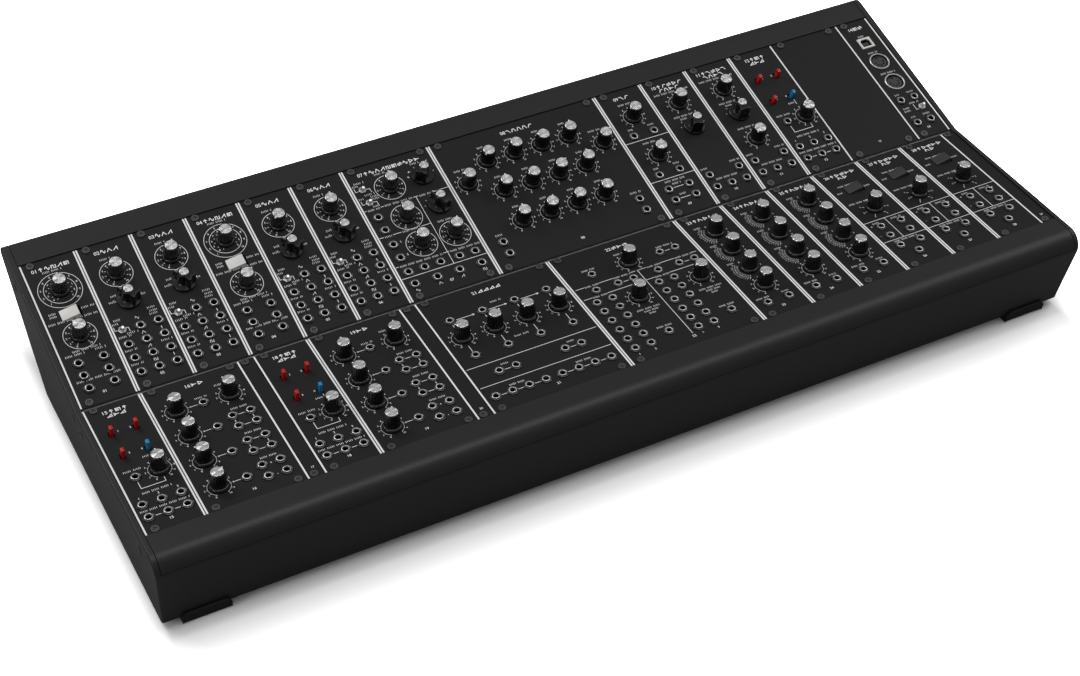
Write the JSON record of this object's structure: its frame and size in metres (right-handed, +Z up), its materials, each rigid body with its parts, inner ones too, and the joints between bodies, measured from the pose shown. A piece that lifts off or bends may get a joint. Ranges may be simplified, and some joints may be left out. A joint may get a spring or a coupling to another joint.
{
  "type": "modular synthesizer",
  "caption": "Modular synthesizer: low black desktop case with two rows of panels, knobs with bright caps, rotary selectors, small levers, toggles and round jacks.",
  "frame": {"origin": "centre of the footprint, on the surface the case stands on", "axes": "+X to the right along both rows, +Y to the rear wall, +Z up"},
  "size_m": [0.723, 0.307, 0.114],
  "materials": {
    "powder_coat": "fine textured charcoal powder coat",
    "panel": "matt black with white print",
    "rail": "plain drawn bar",
    "board": "green circuit board",
    "rubber": "matt black",
    "black_plastic": "satin black",
    "white_plastic": "satin white",
    "red_plastic": "satin red",
    "blue_plastic": "satin blue",
    "bright_steel": "bright nickel"
  },
  "bodies": {
    "case": {"power_inlet": "black_plastic", "case_shell": "powder_coat", "front_rest": "powder_coat", "rear_hood": "powder_coat", "foot_front_left": "rubber", "foot_rear_left": "rubber", "foot_front_right": "rubber", "foot_rear_right": "rubber", "front_rail": "rail", "middle_rail": "rail", "rear_rail": "rail", "power_board": "board", "driver_1": "panel", "oscillator_1": "panel", "oscillator_2": "panel", "driver_2": "panel", "oscillator_3": "panel", "oscillator_4": "panel", "wide_oscillator": "panel", "filter_bank": "panel", "filter_pair": "panel", "high_pass_filter": "panel", "low_pass_filter": "panel", "control_voltages": "panel", "blank_panel_wide": "panel", "digital_interface": "panel", "controller_1": "panel", "mixer_1": "panel", "blank_panel_1": "panel", "controller_2": "panel", "mixer_2": "panel", "blank_panel_2": "panel", "attenuators": "panel", "interface": "panel", "envelope_1": "panel", "envelope_2": "panel", "envelope_3": "panel", "amplifier_1": "panel", "amplifier_2": "panel", "amplifier_3": "panel", "blank_panel_3": "panel"},
    "driver_1_frequency_knob": {"driver_1_frequency_knob": "black_plastic"},
    "driver_1_range_rocker": {"driver_1_range_rocker": "white_plastic"},
    "driver_1_width_knob": {"driver_1_width_knob": "black_plastic"},
    "oscillator_1_frequency_knob": {"oscillator_1_frequency_knob": "black_plastic"},
    "oscillator_1_range_selector": {"oscillator_1_range_selector": "black_plastic"},
    "oscillator_1_drive_toggle": {"oscillator_1_drive_toggle": "bright_steel"},
    "digital_interface_mode_toggle": {"digital_interface_mode_toggle": "bright_steel"},
    "controller_1_lever_1": {"controller_1_lever_1": "red_plastic"},
    "controller_1_lever_2": {"controller_1_lever_2": "red_plastic"},
    "controller_1_lever_3": {"controller_1_lever_3": "red_plastic"},
    "controller_1_lever_4": {"controller_1_lever_4": "blue_plastic"},
    "controller_1_attenuator_knob": {"controller_1_attenuator_knob": "black_plastic"},
    "envelope_1_attack_knob": {"envelope_1_attack_knob": "black_plastic"},
    "envelope_1_decay_knob": {"envelope_1_decay_knob": "black_plastic"},
    "envelope_1_release_knob": {"envelope_1_release_knob": "black_plastic"},
    "envelope_1_sustain_knob": {"envelope_1_sustain_knob": "black_plastic"},
    "amplifier_1_response_rocker": {"amplifier_1_response_rocker": "black_plastic"},
    "amplifier_1_gain_knob": {"amplifier_1_gain_knob": "black_plastic"},
    "power_switch": {"power_switch": "black_plastic"}
  },
  "joints": [
    {"name": "driver_1_frequency_knob_turn", "type": "hinge", "parent": "case", "child": "driver_1_frequency_knob", "pos_m": [-0.33528, 0.09959, 0.09841], "axis": [0, -0.2622, 0.965], "range_deg": [-150, 150]},
    {"name": "driver_1_range_rocker_turn", "type": "hinge", "parent": "case", "child": "driver_1_range_rocker", "pos_m": [-0.33528, 0.07929, 0.0903], "axis": [0, 0.965, 0.2622], "range_deg": [0, 24]},
    {"name": "driver_1_width_knob_turn", "type": "hinge", "parent": "case", "child": "driver_1_width_knob", "pos_m": [-0.33528, 0.05979, 0.0876], "axis": [0, -0.2622, 0.965], "range_deg": [-150, 150]},
    {"name": "oscillator_1_frequency_knob_turn", "type": "hinge", "parent": "case", "child": "oscillator_1_frequency_knob", "pos_m": [-0.29464, 0.09959, 0.09841], "axis": [0, -0.2622, 0.965], "range_deg": [-150, 150]},
    {"name": "oscillator_1_range_selector_turn", "type": "hinge", "parent": "case", "child": "oscillator_1_range_selector", "pos_m": [-0.29464, 0.07554, 0.09187], "axis": [0, -0.2622, 0.965], "range_deg": [-75, 75]},
    {"name": "oscillator_1_drive_toggle_turn", "type": "hinge", "parent": "case", "child": "oscillator_1_drive_toggle", "pos_m": [-0.30756, 0.05301, 0.08658], "axis": [1, 0, 0], "range_deg": [-24, 0]},
    {"name": "digital_interface_mode_toggle_turn", "type": "hinge", "parent": "case", "child": "digital_interface_mode_toggle", "pos_m": [0.3467, 0.03093, 0.08058], "axis": [1, 0, 0], "range_deg": [-24, 0]},
    {"name": "controller_1_lever_1_turn", "type": "hinge", "parent": "case", "child": "controller_1_lever_1", "pos_m": [-0.34467, -0.0284, 0.068], "axis": [1, 0, 0], "range_deg": [-16, 0]},
    {"name": "controller_1_lever_2_turn", "type": "hinge", "parent": "case", "child": "controller_1_lever_2", "pos_m": [-0.32764, -0.0284, 0.068], "axis": [1, 0, 0], "range_deg": [-16, 0]},
    {"name": "controller_1_lever_3_turn", "type": "hinge", "parent": "case", "child": "controller_1_lever_3", "pos_m": [-0.34467, -0.05192, 0.068], "axis": [1, 0, 0], "range_deg": [-16, 0]},
    {"name": "controller_1_lever_4_turn", "type": "hinge", "parent": "case", "child": "controller_1_lever_4", "pos_m": [-0.32764, -0.05192, 0.068], "axis": [1, 0, 0], "range_deg": [-16, 0]},
    {"name": "controller_1_attenuator_knob_turn", "type": "hinge", "parent": "case", "child": "controller_1_attenuator_knob", "pos_m": [-0.32715, -0.07363, 0.072], "axis": [0, 0, 1], "range_deg": [-150, 150]},
    {"name": "envelope_1_attack_knob_turn", "type": "hinge", "parent": "case", "child": "envelope_1_attack_knob", "pos_m": [0.12192, -0.02519, 0.072], "axis": [0, 0, 1], "range_deg": [-150, 150]},
    {"name": "envelope_1_decay_knob_turn", "type": "hinge", "parent": "case", "child": "envelope_1_decay_knob", "pos_m": [0.12192, -0.04883, 0.072], "axis": [0, 0, 1], "range_deg": [-150, 150]},
    {"name": "envelope_1_release_knob_turn", "type": "hinge", "parent": "case", "child": "envelope_1_release_knob", "pos_m": [0.12192, -0.07235, 0.072], "axis": [0, 0, 1], "range_deg": [-150, 150]},
    {"name": "envelope_1_sustain_knob_turn", "type": "hinge", "parent": "case", "child": "envelope_1_sustain_knob", "pos_m": [0.12192, -0.09368, 0.072], "axis": [0, 0, 1], "range_deg": [-150, 150]},
    {"name": "amplifier_1_response_rocker_turn", "type": "hinge", "parent": "case", "child": "amplifier_1_response_rocker", "pos_m": [0.24384, -0.0266, 0.0695], "axis": [0, 1, 0], "range_deg": [0, 24]},
    {"name": "amplifier_1_gain_knob_turn", "type": "hinge", "parent": "case", "child": "amplifier_1_gain_knob", "pos_m": [0.24384, -0.0541, 0.072], "axis": [0, 0, 1], "range_deg": [-150, 150]},
    {"name": "power_switch_turn", "type": "hinge", "parent": "case", "child": "power_switch", "pos_m": [-0.259, 0.12723, 0.04809], "axis": [0, 0.4384, 0.8988], "range_deg": [-24, 0]}
  ]
}
